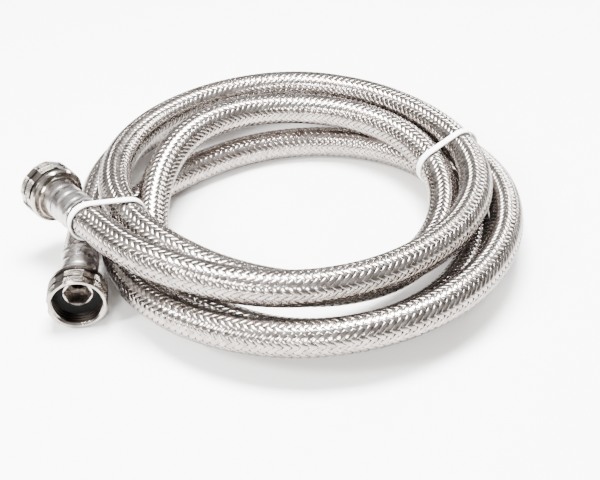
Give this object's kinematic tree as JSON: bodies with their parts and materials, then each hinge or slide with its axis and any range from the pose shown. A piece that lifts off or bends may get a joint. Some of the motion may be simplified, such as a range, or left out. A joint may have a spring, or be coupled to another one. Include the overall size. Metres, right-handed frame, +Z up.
{
  "type": "braided supply hose",
  "caption": "Coiled flexible supply line in a woven steel braid, with a knurled swivel coupling nut on each end and plastic ties holding the loops together.",
  "frame": {"origin": "on the floor below the middle of the coil: the centre of the bounding box's base", "axes": "+Z up out of the coil; +Y from the front of the coil to the back; +X to the right; the couplings are at the left"},
  "size_m": [0.2803, 0.2765, 0.053],
  "materials": {
    "braid": "bright woven stainless wire",
    "liner": "smooth",
    "plated_nut": "bright nickel plate with a knurl",
    "bright_nipple": "bright nickel plate",
    "crimped_steel": "bright, crimped in bands",
    "seat_rubber": "matt black",
    "tie_plastic": "white nylon"
  },
  "bodies": {
    "hose": {"braided_jacket": "braid", "inner_tube": "liner", "upper_nipple": "bright_nipple", "upper_ferrule": "crimped_steel", "lower_nipple": "bright_nipple", "lower_ferrule": "crimped_steel", "left_tie": "tie_plastic", "right_tie": "tie_plastic"},
    "upper_seat": {"upper_washer": "seat_rubber"},
    "upper_coupling": {"upper_nut": "plated_nut"},
    "lower_seat": {"lower_washer": "seat_rubber"},
    "lower_coupling": {"lower_nut": "plated_nut"}
  },
  "joints": [
    {"name": "upper_nut_slide", "type": "slide", "parent": "hose", "child": "upper_seat", "axis": [-0.6428, 0.7661, 0], "range_m": [0, 0.0008]},
    {"name": "upper_nut_swivel", "type": "hinge", "parent": "upper_seat", "child": "upper_coupling", "pos_m": [-0.12373, -0.02102, 0.0374], "axis": [-0.6428, 0.7661, 0], "continuous": true},
    {"name": "lower_nut_slide", "type": "slide", "parent": "hose", "child": "lower_seat", "axis": [0.1342, -0.991, 0], "range_m": [0, 0.0008]},
    {"name": "lower_nut_swivel", "type": "hinge", "parent": "lower_seat", "child": "lower_coupling", "pos_m": [-0.10129, -0.08677, 0.0156], "axis": [0.1342, -0.991, 0], "continuous": true}
  ]
}
